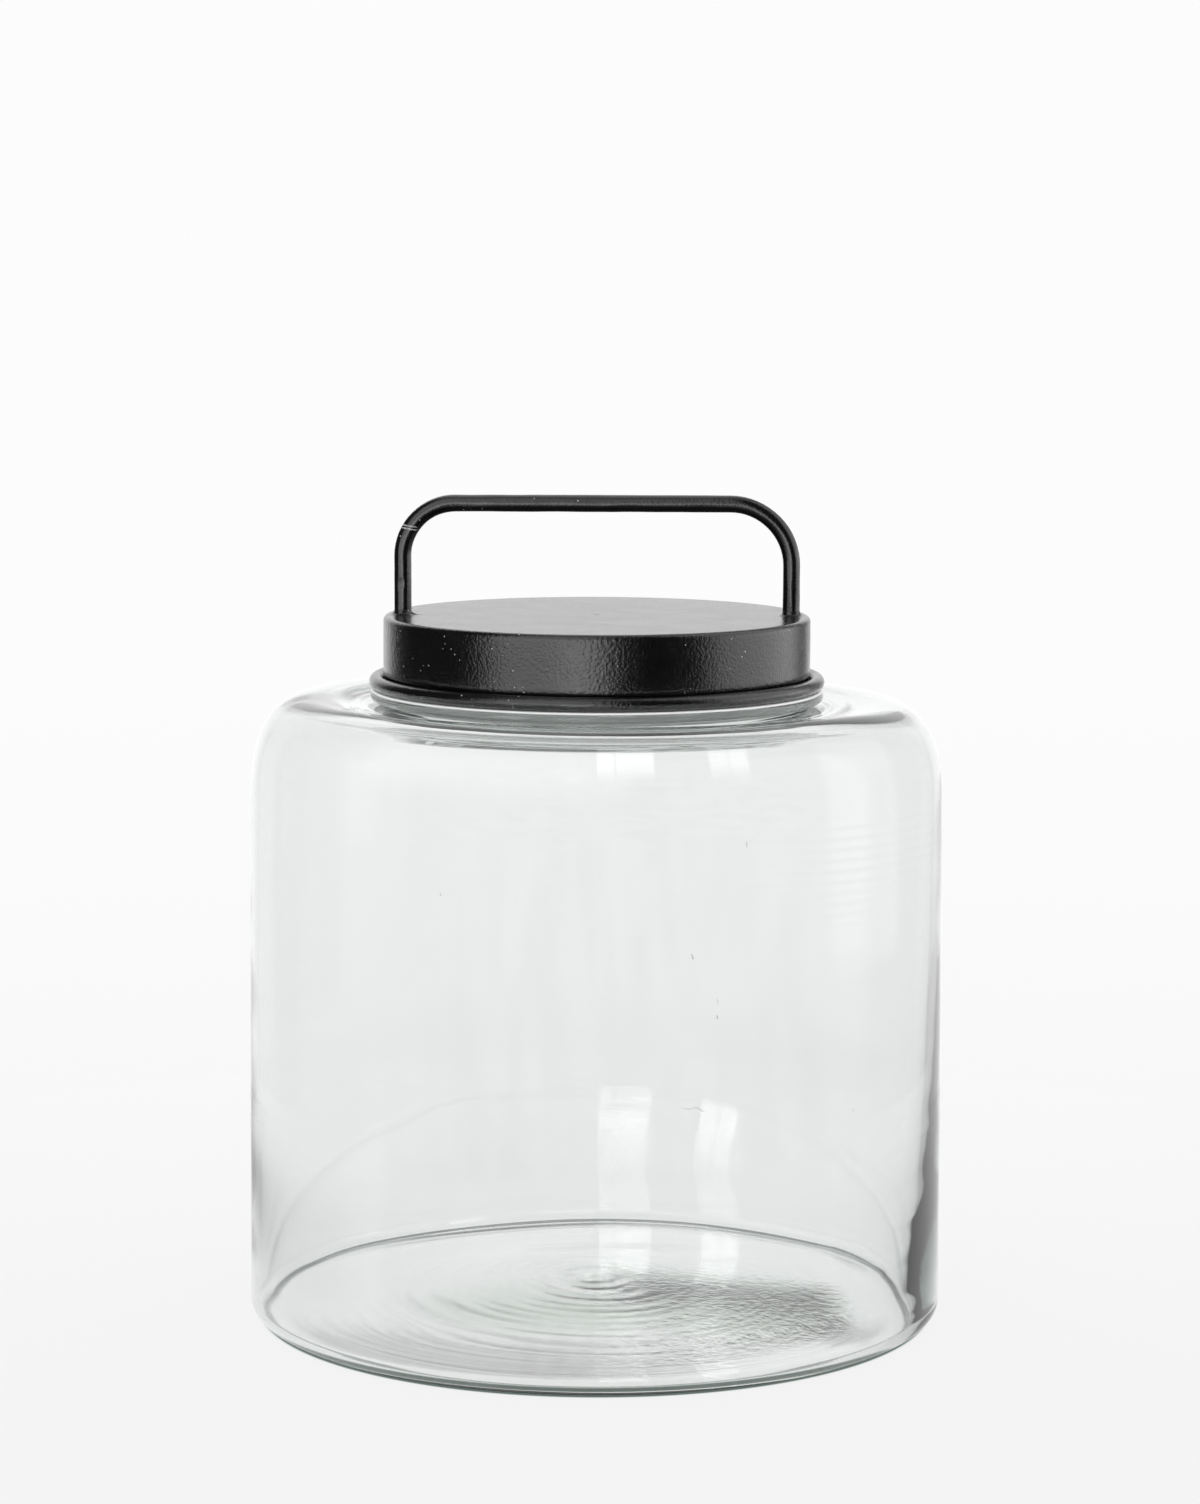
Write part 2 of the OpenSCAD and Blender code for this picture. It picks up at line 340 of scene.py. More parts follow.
def catmull(points, step):
    """Smooth curve through the points, resampled at about step (metres)."""
    p = np.array(points, float)
    p = np.vstack([2 * p[0] - p[1], p, 2 * p[-1] - p[-2]])
    out = []
    for i in range(1, len(p) - 2):
        fine = step * 0.38 if 0.070 < p[i][0] < 0.096 and p[i][1] > 0.205 else step * 0.6 if p[i][1] < 0.0125 else step
        n = max(1, int(math.ceil(np.linalg.norm(p[i + 1] - p[i]) / fine)))
        for k in range(n):
            s = k / n
            # centripetal-like tangents limited to the neighbours keep flats flat
            m0 = (p[i + 1] - p[i - 1]) / 2
            m1 = (p[i + 2] - p[i]) / 2
            d = np.linalg.norm(p[i + 1] - p[i])
            for m in (m0, m1):
                length = np.linalg.norm(m)
                if length > 1.2 * d:
                    m *= 1.2 * d / length
            h = (2 * s**3 - 3 * s**2 + 1, s**3 - 2 * s**2 + s, -2 * s**3 + 3 * s**2, s**3 - s**2)
            out.append(h[0] * p[i] + h[1] * m0 + h[2] * p[i + 1] + h[3] * m1)
    out.append(p[-2])
    return np.array(out)


def arc(cx, cz, r, a0, a1, n):
    return [(cx + r * math.cos(math.radians(a0 + (a1 - a0) * i / n)), cz + r * math.sin(math.radians(a0 + (a1 - a0) * i / n))) for i in range(n + 1)]


def grid_mesh(name, xyz, closed_u=True, closed_v=False, pole0=None, pole1=None, flip=False, extra=()):
    """Mesh from an array (rows, segments, 3). Rows go along the profile, segments round the axis."""
    nv, nu = xyz.shape[:2]
    verts = xyz.reshape(-1, 3)
    faces = []
    ru = nu if closed_u else nu - 1
    rv = nv if closed_v else nv - 1
    j, i = np.meshgrid(np.arange(ru), np.arange(rv))
    a = i * nu + j
    b = i * nu + (j + 1) % nu
    c = ((i + 1) % nv) * nu + (j + 1) % nu
    d = ((i + 1) % nv) * nu + j
    quads = np.stack([a, b, c, d], -1).reshape(-1, 4)
    faces = quads.tolist()
    verts = verts.tolist()
    if pole0 is not None:
        k = len(verts)
        verts.append(list(pole0))
        faces += [[k, (q + 1) % nu, q] for q in range(ru)]
    if pole1 is not None:
        k = len(verts)
        verts.append(list(pole1))
        base = (nv - 1) * nu
        faces += [[k, base + q, base + (q + 1) % nu] for q in range(ru)]
    if flip:
        faces = [f[::-1] for f in faces]
    for more_verts, more_faces in extra:
        k = len(verts)
        verts += more_verts
        faces += [[k + i for i in f] for f in more_faces]
    me = bpy.data.meshes.new(name)
    me.from_pydata(verts, [], faces)
    me.update()
    me.polygons.foreach_set("use_smooth", [True] * len(me.polygons))
    return me


def add(name, me, mat, body, *nodes, slot=None):
    ob = bpy.data.objects.new(name, me)
    scene.collection.objects.link(ob)
    me.materials.append(mat)
    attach(ob, body)
    if nodes:
        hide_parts(*nodes)
    return ob


class Waves:
    """Smooth seeded random field of angle and length, periodic in angle."""

    def __init__(self, seed, n, kmax, fz, decay=1.0):
        rng = np.random.RandomState(seed)
        self.k = rng.randint(0, kmax + 1, n)
        self.f = rng.uniform(-fz, fz, n) * 2 * math.pi
        self.p = rng.uniform(0, 2 * math.pi, n)
        self.a = rng.normal(0, 1, n) / (1 + self.k / max(kmax, 1) * 2) ** decay
        self.a /= math.sqrt((self.a**2).sum() / 2)

    def __call__(self, th, s):
        out = 0
        for k, f, p, a in zip(self.k, self.f, self.p, self.a):
            out = out + a * np.cos(k * th + f * s + p)
        return out


# ---------------------------------------------------------------- glass body
jar_lo, jar_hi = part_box("glass_jar")
RIM_Z = jar_hi.z
JAR_R = (jar_hi.x - jar_lo.x) / 2
MM = 0.001
TAPER, CORNER_W, CORNER_H, CORNER_N = 1.1 * MM, 23 * MM, 37.6 * MM, 2.5
SHOULDER_Z, DIP, BASE_R, WALL = 226.6 * MM, 2.6 * MM, 6 * MM, 3.2 * MM
CORNER_Z = SHOULDER_Z - CORNER_H
CROWN_R = JAR_R - TAPER - CORNER_W
WAIST_R, FLANGE_R, MOUTH_R = 77.8 * MM, 82.5 * MM, 73.0 * MM
FLANGE_LOW = RIM_Z - 3.6 * MM

side = [(JAR_R - TAPER * (z / CORNER_Z) ** 2.2, z) for z in np.linspace(BASE_R, CORNER_Z, 24)]
side += [(CROWN_R + CORNER_W * math.cos(math.radians(a)) ** (2 / CORNER_N), CORNER_Z + CORNER_H * math.sin(math.radians(a)) ** (2 / CORNER_N)) for a in np.linspace(2, 90, 45)]
R0 = WAIST_R + 2.4 * MM
side += [(CROWN_R + (R0 - CROWN_R) * q, SHOULDER_Z - DIP * math.sin(math.radians(90 * q)) ** 2) for q in np.linspace(0, 1, 10)[1:]]
side = np.array(side)


def normals2d(p):
    d = np.gradient(p, axis=0)
    d /= np.linalg.norm(d, axis=1)[:, None] + 1e-12
    return np.stack([d[:, 1], -d[:, 0]], 1)


thick = WALL + 0.6 * MM * smoothstep(np.arange(len(side)), 20, len(side))
inner = side - normals2d(side) * thick[:, None]
REST_R, KICK = 108 * MM, 6.3 * MM
kick = [(r, KICK * math.cos(math.radians(90 * r / REST_R)) ** 2) for r in np.linspace(0.0015, REST_R, 30)]
edge = arc(JAR_R - BASE_R, BASE_R, BASE_R, -90, -5, 12)
neck_z = SHOULDER_Z - DIP
neck = [(WAIST_R + 0.8 * MM, neck_z + 0.2 * MM), (WAIST_R, neck_z + 1 * MM), (WAIST_R + 0.3 * MM, FLANGE_LOW - 0.4 * MM), (WAIST_R + 1.3 * MM, FLANGE_LOW)]
neck += arc(FLANGE_R - 1.6 * MM, FLANGE_LOW + 1.6 * MM, 1.6 * MM, -80, 0, 6) + arc(FLANGE_R - 1.3 * MM, RIM_Z - 1.3 * MM, 1.3 * MM, 0, 90, 6)
outer_profile = catmull([*kick, *edge, *side[1:], *neck], 0.9 * MM)
FL_R, FLOOR_EDGE, FLOOR_MID = 3.9 * MM, 2.3 * MM, 11 * MM
floor_r = JAR_R - WALL - FL_R
mouth = arc(MOUTH_R + 0.8 * MM, RIM_Z - 0.8 * MM, 0.8 * MM, 90, 180, 5) + [(MOUTH_R, RIM_Z - 4 * MM), (MOUTH_R, RIM_Z - 8.2 * MM)]
mouth += arc(MOUTH_R + 2.6 * MM, RIM_Z - 8.6 * MM, 2.6 * MM, 192, 255, 4)
inner_side = [p for p in inner[::-1][1:-1] if p[1] > FLOOR_EDGE + FL_R + 0.002 and not (p[1] > RIM_Z - 12.5 * MM and p[0] < MOUTH_R + 5 * MM)]
floor_in = [(floor_r * (1 - q), FLOOR_EDGE + (FLOOR_MID - FLOOR_EDGE) * math.sin(math.radians(90 * q)) ** 2) for q in np.linspace(0, 1, 30)[1:-1]]
inner_profile = catmull([*mouth, *inner_side, *arc(floor_r, FLOOR_EDGE + FL_R, FL_R, -2, -88, 12), *floor_in, (0.0015, FLOOR_MID)], 0.9 * MM)



def bubble(points, radius):
    """Air bubble in the wall: a thin closed tube through (degrees, mm) points, its faces turned towards the air."""
    rho = JAR_R - 1.7 * MM
    mid = []
    for a, z in points:
        a = math.radians(a)
        mid.append(Vector((rho * math.cos(a), rho * math.sin(a), z * MM)))
    path3, size = [], []
    n = 5
    for a, b in zip(mid, mid[1:]):
        path3 += [a.lerp(b, i / n) for i in range(n)]
    path3.append(mid[-1])
    verts, faces = [], []
    m = 8
    for i, p in enumerate(path3):
        q = i / (len(path3) - 1)
        rad_here = radius * max(0.06, math.sqrt(max(0.0, 1 - (2 * q - 1) ** 2)))
        along = (path3[min(i + 1, len(path3) - 1)] - path3[max(i - 1, 0)]).normalized()
        out_dir = Vector((p.x, p.y, 0)).normalized()
        side_dir = along.cross(out_dir).normalized()
        up_dir = side_dir.cross(along)
        for k in range(m):
            c, s = math.cos(2 * math.pi * k / m), math.sin(2 * math.pi * k / m)
            verts.append(tuple(p + side_dir * (c * rad_here) + up_dir * (s * rad_here)))
    for i in range(len(path3) - 1):
        for k in range(m):
            a, b = i * m + k, i * m + (k + 1) % m
            faces.append([a, b, b + m, a + m])
    faces.append([k for k in range(m)][::-1])
    faces.append([(len(path3) - 1) * m + k for k in range(m)])
    # outward for the tube means into the glass: turn the faces so that they point at the air
    me = bpy.data.meshes.new("tmp")
    me.from_pydata(verts, [], faces)
    bm = bmesh.new()
    bm.from_mesh(me)
    bmesh.ops.recalc_face_normals(bm, faces=bm.faces)
    bmesh.ops.reverse_faces(bm, faces=bm.faces)
    bm.verts.index_update()
    result = ([tuple(v.co) for v in bm.verts], [[v.index for v in f.verts] for f in bm.faces])
    bm.free()
    bpy.data.meshes.remove(me)
    return result


SEG = 288
theta = np.linspace(0, 2 * math.pi, SEG, endpoint=False)


# seeds and a hair in the glass, seen in the photograph: points as (degrees round the axis, height in mm), radius in mm
BUBBLES = [
    ([(-75.1, 153.2), (-74.9, 152.2), (-74.8, 151.2)], 0.22), ([(-70.9, 131.9), (-70.8, 131.0), (-70.9, 130.2)], 0.20),
    ([(-114.8, 172.3), (-114.6, 171.4)], 0.16), ([(-147.7, 47.5), (-147.7, 46.3)], 0.15), ([(-44.6, 93.1), (-44.7, 92.1)], 0.14),
    ([(-76.7, 100.6), (-75.4, 99.7), (-74.1, 100.4), (-73.2, 98.9), (-72.3, 98.4)], 0.10), ([(-70.9, 137.5), (-70.7, 135.4)], 0.10),
]


def glass_mesh():
    big_o, big_i = Waves(3, 10, 3, 4), Waves(8, 12, 4, 5)
    fine = Waves(21, 24, 9, 60)
    streak = Waves(5, 26, 3, 330, 0.4)
    slow = Waves(77, 12, 3, 22, 0.6)
    thread = Waves(15, 30, 4, 950, 0.2)
    th = theta[None, :]

    def lean(th, r, z, r0):
        # the blown shoulder leans: a little higher on the -X side
        top = smoothstep(z, 0.19, 0.222) * (r > r0)
        tilt = -0.9 * MM * np.cos(th) + 0.2 * MM * np.cos(2 * th + 0.7) - 0.30 * MM
        brow = 2.9 * MM * smoothstep(-np.sin(th), 0.15, 0.9) * smoothstep(r, 0.094, 0.112) * (1 - smoothstep(r, 0.1185, 0.1268))
        return top * (smoothstep(r, r0, r0 + 0.016) * tilt + brow)

    def ripple(th, z):
        # fine rings left by the tool high on the right of the front
        here = np.exp(-(((th + math.radians(44) + math.pi) % (2 * math.pi) - math.pi) / 0.30) ** 2) * np.exp(-(((z - 0.183) / 0.014) ** 2))
        return here * (1 + np.sin(2 * math.pi * (z / 0.0047) + 1.5 * np.sin(5 * th) + 60 * th * z))

    # outside
    p = outer_profile
    r, z = p[:, 0][:, None], p[:, 1][:, None]
    on_wall = smoothstep(z, 0.008, 0.035) * (1 - smoothstep(z, 0.205, 0.222)) * (r > 0.1)
    dr = -np.abs(0.10 * MM * (1.2 + big_o(th, z))) * on_wall
    dr = dr - 0.010 * MM * ripple(th, z)
    top = smoothstep(z, 0.19, 0.222) * (r > 0.0815)
    facing = 0.07 + 0.93 * smoothstep(np.abs(np.sin(th)), 0.45, 0.85)
    dz = lean(th, r, z, 0.0805) + top * facing * smoothstep(r, 0.0815, 0.084) * (1 - smoothstep(r, 0.087, 0.096)) * 0.13 * MM * streak(th, r)
    dz = dz + top * smoothstep(r, 0.09, 0.10) * (1 - smoothstep(r, 0.112, 0.119)) * 0.04 * MM * slow(th, r)
    collar = smoothstep(z, 0.2215, 0.2235) * (1 - smoothstep(z, 0.2285, 0.2292)) * (r < 0.0835) * (r > 0.076)
    dr = dr - np.abs(0.07 * MM * thread(th, z)) * collar
    dz = dz + top * facing * (1 - smoothstep(r, 0.087, 0.093)) * 0.035 * MM * thread(th, r)
    out = np.stack([(r + dr) * np.cos(th), (r + dr) * np.sin(th), z + dz + 0 * th], -1)
    # inside
    p = inner_profile
    r, z = p[:, 0][:, None], p[:, 1][:, None]
    wall_i = smoothstep(z, 0.014, 0.05) * (1 - smoothstep(z, 0.212, 0.2205)) * (r > 0.08)
    rip = np.exp(-(((th + math.radians(44) + math.pi) % (2 * math.pi) - math.pi) / 0.34) ** 2) * np.exp(-(((z - 0.181) / 0.013) ** 2))
    # the blown wall is thicker low down on the +X side, with an uneven inner face
    heavy = np.exp(-(((th + 0.12 + math.pi) % (2 * math.pi) - math.pi) / 0.50) ** 2)
    load = np.interp(z, [0.0, 0.004, 0.010, 0.030, 0.046, 0.075, 0.115, 0.17, 0.20], [0.8, 2.7, 2.9, 2.4, 1.6, 1.1, 0.7, 0.3, 0])
    uneven = 1 + 0.022 * Waves(19, 14, 2, 70, 0.2)(th, z) * smoothstep(z, 0.025, 0.05) * (1 - smoothstep(z, 0.08, 0.11))
    dr = -(heavy * load * uneven + 0.5 * smoothstep(z, 0.008, 0.02) * (1 - smoothstep(z, 0.05, 0.15))) * MM * smoothstep(r, 0.108, 0.116)
    dr = dr + wall_i * (0.11 * MM * big_i(th, z) + 0.010 * MM * fine(th, z)
                   + 0.028 * MM * rip * np.sin(2 * math.pi * (z / 0.0047) + 1.5 * np.sin(5 * th) + 60 * th * z))
    top = smoothstep(z, 0.19, 0.219) * (r > 0.077)
    dz = lean(th, r, z, 0.0765) + top * facing * (1 - smoothstep(r, 0.088, 0.103)) * 0.27 * MM * streak(th + 1.3, r)
    dz = dz + top * smoothstep(r, 0.09, 0.10) * 0.07 * MM * slow(th + 0.8, r)
    dz = dz + top * facing * (1 - smoothstep(r, 0.087, 0.094)) * 0.05 * MM * thread(th + 2, r)
    # a thicker, greener patch on the right of the shoulder
    dz = dz - top * 0.5 * MM * np.exp(-(((th - math.radians(335) + math.pi) % (2 * math.pi) - math.pi) / 0.45) ** 2) * smoothstep(r, 0.088, 0.103) * (1 - smoothstep(r, 0.105, 0.1195))
    # floor: pontil swirl, open arcs that fade outwards and show most towards the front
    x, y = r * np.cos(th), r * np.sin(th)
    d = np.hypot(x, y)
    ph = np.arctan2(y, x)
    fl = (1 - smoothstep(z, 0.0125, 0.02)) * (1 - smoothstep(r, 0.106, 0.118))
    front = 0.35 + 0.65 * np.clip(-np.sin(ph + 0.25), 0, 1)
    spiral = d / 0.0125 + 0.16 * ph + 0.16 * np.sin(2 * ph + 0.4)
    ring = (np.cos(2 * math.pi * spiral) + 0.4 * np.cos(4 * math.pi * spiral + 1.0)) * np.clip(0.62 + 0.38 * Waves(53, 7, 5, 20)(ph, d), 0, 1.4)
    # uneven base: a thicker fold on the +X side in front of the middle, which turns grey-green where light is trapped
    u = (y + 0.015) / 0.037
    fold = smoothstep(x, -0.030, 0.030) * (1 - smoothstep(x, 0.080, 0.099))
    dzf = fl * (0.055 * MM * ring * front * (1 - 0.8 * smoothstep(x, 0.022, 0.060)) * smoothstep(d, 0.004, 0.02) * (1 - smoothstep(d, 0.06, 0.092))
                + 0.30 * MM * np.exp(-((d / 0.0042) ** 2)) - 0.12 * MM * np.exp(-(((d - 0.010) / 0.004) ** 2))
                + 0.10 * MM * Waves(31, 14, 4, 26)(ph, d) * smoothstep(d, 0.02, 0.06))
    dzf = dzf + fl * MM * (1.27 * u * np.exp(-(u**2) / 2) * fold + (0.005 + 0.001 * fold) * Waves(91, 30, 4, 380, 0.2)(ph, d) * smoothstep(d, 0.012, 0.03))
    # the floor meets the wall a little higher at the back
    dzf = dzf + (1 - smoothstep(z, 0.0055, 0.014)) * smoothstep(d, 0.104, 0.121) * 0.7 * MM * smoothstep(np.sin(ph + 0.18), -0.1, 0.9)
    inn = np.stack([(r + dr) * np.cos(th), (r + dr) * np.sin(th), z + dz + dzf + 0 * th], -1)
    xyz = np.concatenate([out, inn], 0)
    xyz[:, :, 2] = np.maximum(xyz[:, :, 2], 0.0)
    rng = random.Random(9)
    seeds = [bubble(p, r * MM) for p, r in BUBBLES]
    for _ in range(26):
        a, z, n = rng.uniform(0, 360), rng.uniform(30, 180), rng.uniform(0.2, 1.1)
        tilt = rng.uniform(-0.5, 0.5)
        seeds.append(bubble([(a, z), (a + n * 0.2 * tilt, z + n * 0.5), (a + n * 0.5 * tilt, z + n)], rng.uniform(0.07, 0.17) * MM))
    return grid_mesh("glass_body", xyz, pole0=(0, 0, float(out[0, :, 2].mean())), pole1=(0, 0, float(inn[-1, :, 2].mean())), extra=seeds)


mat_glass, t, out = material("jar_glass")
pb = t.n("ShaderNodeBsdfPrincipled")
t.put(pb, Base_Color=(1, 1, 1, 1), Roughness=0.0, IOR=1.5, Transmission_Weight=1.0)
pos = t.n("ShaderNodeTexCoord").outputs["Object"]
g_sep = t.n("ShaderNodeSeparateXYZ")
t.link(pos, g_sep.inputs[0])
g_rad = t.m("SQRT", t.m("ADD", t.m("POWER", g_sep.outputs["X"], 2.0), t.m("POWER", g_sep.outputs["Y"], 2.0)))
on_floor = t.m("MULTIPLY", t.step(g_sep.outputs["Z"], 0.0125, 0.0145, 1.0, 0.0), t.step(g_rad, 0.088, 0.104, 1.0, 0.0))
on_floor = t.m("MULTIPLY", on_floor, t.m("ADD", t.m("MULTIPLY", t.step(g_sep.outputs["X"], -0.012, 0.03), t.step(g_sep.outputs["Y"], 0.0, 0.03, 1.0, 0.15)), 0.16))
mottle = t.m("ADD", t.noise(pos, 600, 2.0, 0.6), t.m("MULTIPLY", t.noise(pos, 240, 1.0, 0.5), 1.2))
t.link(t.bump(t.m("MULTIPLY", mottle, on_floor), 0.000042), pb.inputs["Normal"])
vol = t.n("ShaderNodeVolumeAbsorption")
vol.inputs["Color"].default_value = (0.704, 0.737, 0.7205, 1)
vol.inputs["Density"].default_value = 80.0
t.link(pb.outputs[0], out.inputs["Surface"])
t.link(vol.outputs[0], out.inputs["Volume"])
jar = add("glass_body", glass_mesh(), mat_glass, "jar", "glass_jar", slot="jar_glass")


# ---------------------------------------------------------------- lid
def lathe(name, profile, seg=256, closed=True, wobble=None):
    p = np.array(profile, float)
    th = np.linspace(0, 2 * math.pi, seg, endpoint=False)[None, :]
    r, z = p[:, 0][:, None], p[:, 1][:, None]
    dr, dz = wobble(th, r, z) if wobble else (0.0, 0.0)
    xyz = np.stack([(r + dr) * np.cos(th), (r + dr) * np.sin(th), z + dz + 0 * th], -1)
    return grid_mesh(name, xyz, closed_v=closed)


drum_lo, drum_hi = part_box("lid_drum")
ring_lo, ring_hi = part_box("lid_foot_ring")
TOP_Z, SEAT_Z = drum_hi.z, drum_lo.z
DRUM_R = (drum_hi.x - drum_lo.x) / 2


def powder(name, base=0.0035, rough=0.23, grain=0.0010, depth=0.00025, specks=True):
    mat, t, out = material(name)
    pos = t.n("ShaderNodeTexCoord").outputs["Object"]
    peel = t.noise(pos, 1 / grain, 2.0, 0.45)
    peel2 = t.noise(pos, 1 / (grain * 3.2), 2.0, 0.5)
    height = t.m("ADD", t.m("MULTIPLY", peel, 0.7), t.m("MULTIPLY", peel2, 0.14))
    n1 = t.bump(height, depth, 1.0)
    pb = t.n("ShaderNodeBsdfPrincipled")
    tone = t.noise(pos, 60, 3.0, 0.6)
    col = t.mixc(t.step(tone, 0.35, 0.7), (base * 0.8, base * 0.8, base * 0.83), (base * 1.35, base * 1.33, base * 1.35))
    if specks:
        vor = t.n("ShaderNodeTexVoronoi", feature="F1")
        t.link(pos, vor.inputs["Vector"])
        vor.inputs["Scale"].default_value = 380
        left = t.n("ShaderNodeSeparateXYZ")
        t.link(pos, left.inputs[0])
        few = t.step(left.outputs["X"], -0.040, -0.015, 0.44, 0.66)
        keep = t.m("GREATER_THAN", t.noise(pos, 60, 0.0), few)
        dot = t.m("MULTIPLY", t.step(vor.outputs["Distance"], 0.05, 0.115, 1.0, 0.0), keep)
        col = t.mixc(dot, col, (0.5, 0.5, 0.5))
    t.link(col, pb.inputs["Base Color"])
    rg = t.step(tone, 0.3, 0.75, rough - 0.012, rough + 0.018)
    t.link(rg, pb.inputs["Roughness"])
    pb.inputs["IOR"].default_value = 1.52
    pb.inputs["Coat Weight"].default_value = 0.5
    pb.inputs["Coat Roughness"].default_value = 0.15
    pb.inputs["Coat IOR"].default_value = 1.5
    t.link(n1, pb.inputs["Coat Normal"])
    t.link(n1, pb.inputs["Normal"])
    t.link(pb.outputs[0], out.inputs["Surface"])
    return mat


def scuffed(mat, marks):
    """Pale thin strokes rubbed across the coat: (x, y, z) of each in metres and its direction."""
    t = mat.node_tree
    k = Tree.__new__(Tree)
    k.t = t
    pb = next(n for n in t.nodes if n.type == "BSDF_PRINCIPLED")
    col = pb.inputs["Base Color"].links[0].from_socket
    pos = k.n("ShaderNodeTexCoord").outputs["Object"]
    wear = k.step(k.noise(pos, 2400, 2.0, 0.7), 0.42, 0.62)
    for centre, along, width, reach in marks:
        rel = k.n("ShaderNodeVectorMath", operation="SUBTRACT")
        k.link(pos, rel.inputs[0])
        rel.inputs[1].default_value = centre
        dot = k.n("ShaderNodeVectorMath", operation="DOT_PRODUCT")
        k.link(rel.outputs[0], dot.inputs[0])
        dot.inputs[1].default_value = Vector(along).normalized()
        size = k.n("ShaderNodeVectorMath", operation="LENGTH")
        k.link(rel.outputs[0], size.inputs[0])
        line = k.step(k.m("ABSOLUTE", dot.outputs["Value"]), width * 0.5, width, 1.0, 0.0)
        near = k.step(size.outputs["Value"], reach * 0.6, reach, 1.0, 0.0)
        col = k.mixc(k.m("MULTIPLY", k.m("MULTIPLY", line, near), k.m("ADD", k.m("MULTIPLY", wear, 0.6), 0.15)), col, (0.62, 0.62, 0.61))
    k.link(col, pb.inputs["Base Color"])


mat_lid = powder("lid_powder_coat")
mat_handle = powder("handle_powder_coat", rough=0.22, grain=0.0009, depth=0.00008)
mat_plate = powder("plate_powder_coat", base=0.006, rough=0.30, specks=False)

ER = 1.8 * MM
GROOVE_Z = (ring_lo.z + ring_hi.z) / 2 + 2.55 * MM
drum_profile = densify(
    [(DRUM_R - 1 * MM, SEAT_Z), (DRUM_R - 0.75 * MM, SEAT_Z), (DRUM_R - 0.6 * MM, SEAT_Z + 0.3 * MM), (DRUM_R - 0.6 * MM, GROOVE_Z - 0.35 * MM), (DRUM_R - 0.12 * MM, GROOVE_Z), (DRUM_R, GROOVE_Z + 0.25 * MM)]
    + arc(DRUM_R - ER, TOP_Z - ER, ER, 0, 90, 10) + [(0.00003, TOP_Z)], 2.2 * MM)
drum_in = densify([(0.00003, TOP_Z - 1 * MM), *arc(DRUM_R - ER, TOP_Z - ER, ER - 1 * MM, 90, 0, 5), (DRUM_R - 1 * MM, SEAT_Z + 1.2 * MM)], 3 * MM)
dent = Waves(44, 10, 5, 30)
lid_drum = add("drum", lathe("drum", np.vstack([drum_profile, drum_in]), 320,
               wobble=lambda th, r, z: (-np.abs(0.05 * MM * dent(th, z * 1.0)) * smoothstep(r, 0.07, DRUM_R), (-0.02 + 0.02 * np.cos(2 * math.pi * r / 0.0085)) * MM * np.exp(-((r / 0.026) ** 2)) * (z > TOP_Z - 0.3 * MM))),
               mat_lid, "lid", "lid_drum", slot="lid_paint")

RR = 2.6 * MM
RC = DRUM_R + RR
RZ = (ring_lo.z + ring_hi.z) / 2
ring_profile = [(RC + RR * math.cos(a), RZ + RR * math.sin(a)) for a in np.linspace(0, 2 * math.pi, 36, endpoint=False)]
rw = Waves(12, 8, 6, 1)
foot_ring = add("foot_ring", lathe("foot_ring", ring_profile, 360, wobble=lambda th, r, z: (-np.abs(0.05 * MM * rw(th, 0)), 0.04 * MM * rw(th + 2, 0))),
                mat_lid, "lid", "lid_foot_ring", slot="lid_paint")

plate_lo, plate_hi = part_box("lid_base_plate")
LIP_R = 71.0 * MM
LIP_Z = plate_lo.z
plate_profile = densify([(0.00003, SEAT_Z + 1 * MM), (DRUM_R - 1 * MM, SEAT_Z + 1 * MM), (DRUM_R - 1 * MM, SEAT_Z), (LIP_R + 0.3 * MM, SEAT_Z), (LIP_R, SEAT_Z - 0.3 * MM),
                         (LIP_R, LIP_Z + 0.2 * MM), (LIP_R - 0.2 * MM, LIP_Z), (LIP_R - 0.6 * MM, LIP_Z), (LIP_R - 0.8 * MM, LIP_Z + 0.2 * MM), (LIP_R - 0.8 * MM, SEAT_Z), (0.00003, SEAT_Z)], 3 * MM)
plate = add("base_plate", lathe("base_plate", plate_profile, 192), mat_plate, "lid", "lid_base_plate", slot="plate_paint")

# ---------------------------------------------------------------- seal
seal_lo, seal_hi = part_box("seal_ring")
si, so, st = 71.1 * MM, 72.9 * MM, 1.2 * MM
fins = []
bead = [(seal_hi.x, SEAT_Z - 0.05 * MM), (seal_hi.x + 0.55 * MM, SEAT_Z - 0.15 * MM), (seal_hi.x + 0.85 * MM, SEAT_Z - 0.45 * MM), (seal_hi.x + 0.80 * MM, RIM_Z - 0.35 * MM), (seal_hi.x + 0.45 * MM, RIM_Z - 0.10 * MM), (seal_hi.x, RIM_Z + 0.05 * MM)]
for k in range(2):
    zc = RIM_Z - 2.2 * MM - 2.6 * MM * k
    fins += [(si + st, zc + 0.7 * MM), (so - 0.1 * MM, zc + 0.25 * MM), (so, zc), (so - 0.1 * MM, zc - 0.25 * MM), (si + st, zc - 0.7 * MM)]
seal_profile = [(si, SEAT_Z), (seal_hi.x - 0.2 * MM, SEAT_Z), *bead, (seal_hi.x - 0.2 * MM, RIM_Z), (si + st, RIM_Z)] + fins + [(si + st, seal_lo.z + 0.4 * MM), (si + st - 0.4 * MM, seal_lo.z), (si, seal_lo.z)]
mat_seal, t, out = material("seal_silicone")
pb = t.n("ShaderNodeBsdfPrincipled")
tone = t.noise(t.n("ShaderNodeTexCoord").outputs["Object"], 120, 3.0, 0.6)
t.link(t.mixc(tone, (0.90, 0.915, 0.905), (0.95, 0.955, 0.95)), pb.inputs["Base Color"])
t.put(pb, Roughness=0.35, IOR=1.41, Transmission_Weight=0.05)
t.link(t.bump(t.noise(t.n("ShaderNodeTexCoord").outputs["Object"], 900, 2.0), 0.00003), pb.inputs["Normal"])
t.link(pb.outputs[0], out.inputs["Surface"])
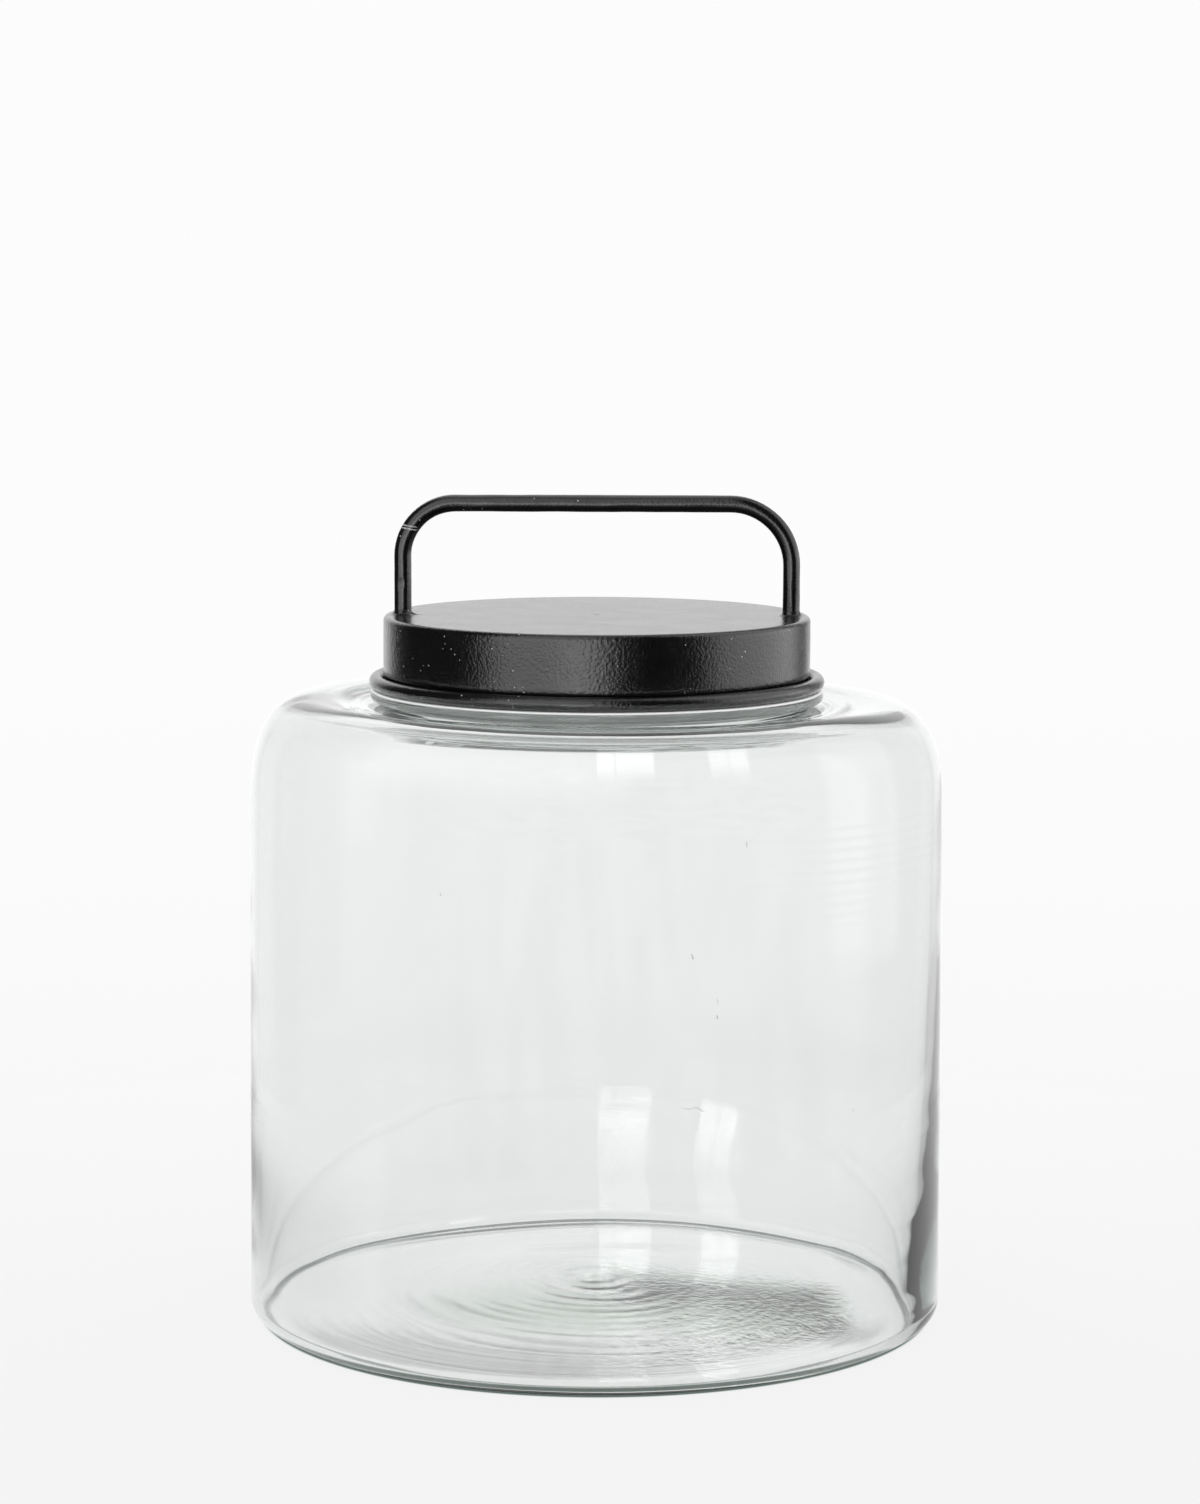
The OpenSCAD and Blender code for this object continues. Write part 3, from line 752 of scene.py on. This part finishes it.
seal = add("seal", lathe("seal", densify(seal_profile + seal_profile[:1], 2.5 * MM)[:-1], 224), mat_seal, "seal", "seal_ring", slot="seal_silicone")

# ---------------------------------------------------------------- handle
h_lo, h_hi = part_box("handle_rod")
ROD = 3.15 * MM
XL = h_hi.x - ROD
HZ = h_hi.z - ROD
BL, BR = 19.2 * MM, 22.4 * MM


def rod_path():
    pts = [(-XL, TOP_Z), (-XL, HZ - BL)]
    pts += [(-XL + BL - BL * math.cos(a), HZ - BL + BL * math.sin(a)) for a in np.linspace(0, math.pi / 2, 17)[1:]]
    pts += [(XL - BR, HZ)]
    pts += [(XL - BR + BR * math.sin(a), HZ - BR + BR * math.cos(a)) for a in np.linspace(0, math.pi / 2, 17)[1:]]
    pts += [(XL, TOP_Z)]
    return densify(pts, 1.5 * MM)


path2 = rod_path()
tang = np.gradient(path2, axis=0)
tang /= np.linalg.norm(tang, axis=1)[:, None]
nor = np.stack([tang[:, 1], -tang[:, 0]], 1)
seg = 40
ang = np.linspace(0, 2 * math.pi, seg, endpoint=False)
cum = np.r_[0, np.cumsum(np.linalg.norm(np.diff(path2, axis=0), axis=1))]
hw = Waves(61, 10, 3, 60)
rr = ROD - np.abs(0.05 * MM * hw(ang[None, :], cum[:, None]))
# a small nick low on the left leg, at the front
rr = rr - 0.45 * MM * np.exp(-(((cum[:, None] - 11.6 * MM) / (0.9 * MM)) ** 2)) * np.exp(-(((np.cos(ang[None, :] - math.radians(250)) - 1) / 0.12) ** 2))
X = path2[:, 0][:, None] + rr * np.cos(ang)[None, :] * nor[:, 0][:, None]
Z = path2[:, 1][:, None] + rr * np.cos(ang)[None, :] * nor[:, 1][:, None]
Y = rr * np.sin(ang)[None, :] + 0 * X
me = grid_mesh("rod", np.stack([X, Y, Z], -1), pole0=(path2[0, 0], 0, path2[0, 1]), pole1=(path2[-1, 0], 0, path2[-1, 1]))
scuffed(mat_handle, [((-0.0688, -0.0028, 0.2892), (0.16, 0.0, 1.0), 0.00036, 0.0040), ((-0.0684, -0.0028, 0.2881), (0.16, 0.0, 1.0), 0.00030, 0.0038)])
rod = add("rod", me, mat_handle, "lid", "handle_rod", slot="handle_paint")


def weld_mesh(name, cx, seed, tail=False):
    fw = Waves(seed, 9, 9, 1, 0.3)
    prof = [(ROD - 0.2 * MM, 1.9 * MM)] + [(ROD + 1.9 * MM + 1.9 * MM * math.cos(math.radians(a)), 1.9 * MM + 1.9 * MM * math.sin(math.radians(a))) for a in np.linspace(180, 270, 10)] + [(ROD - 0.2 * MM, 0.0)]
    p = densify(prof, 0.4 * MM)
    th = np.linspace(0, 2 * math.pi, 72, endpoint=False)[None, :]
    r, z = p[:, 0][:, None], p[:, 1][:, None]
    k = (r > ROD) * 1.0
    f = 1 - 0.14 * np.abs(fw(th, 0)) * k
    run = 1.3 * np.exp(-((th % (2 * math.pi) - 0.0) / 0.30) ** 2) + 1.3 * np.exp(-((th % (2 * math.pi) - 2 * math.pi) / 0.30) ** 2) if tail else 0.0
    rn = ROD + (r - ROD) * f * (1 + run * (z < 0.9 * MM))
    zn = z * (1 - 0.12 * np.abs(fw(th + 1, 0)))
    xyz = np.stack([cx + rn * np.cos(th), rn * np.sin(th), TOP_Z + zn], -1)
    return grid_mesh(name, xyz, closed_v=True, flip=True)


weld_l = add("weld_left", weld_mesh("weld_left", -XL, 5, tail=True), mat_handle, "lid", "handle_weld_left", slot="weld_paint")
weld_r = add("weld_right", weld_mesh("weld_right", XL, 6), mat_handle, "lid", "handle_weld_right", slot="weld_paint")
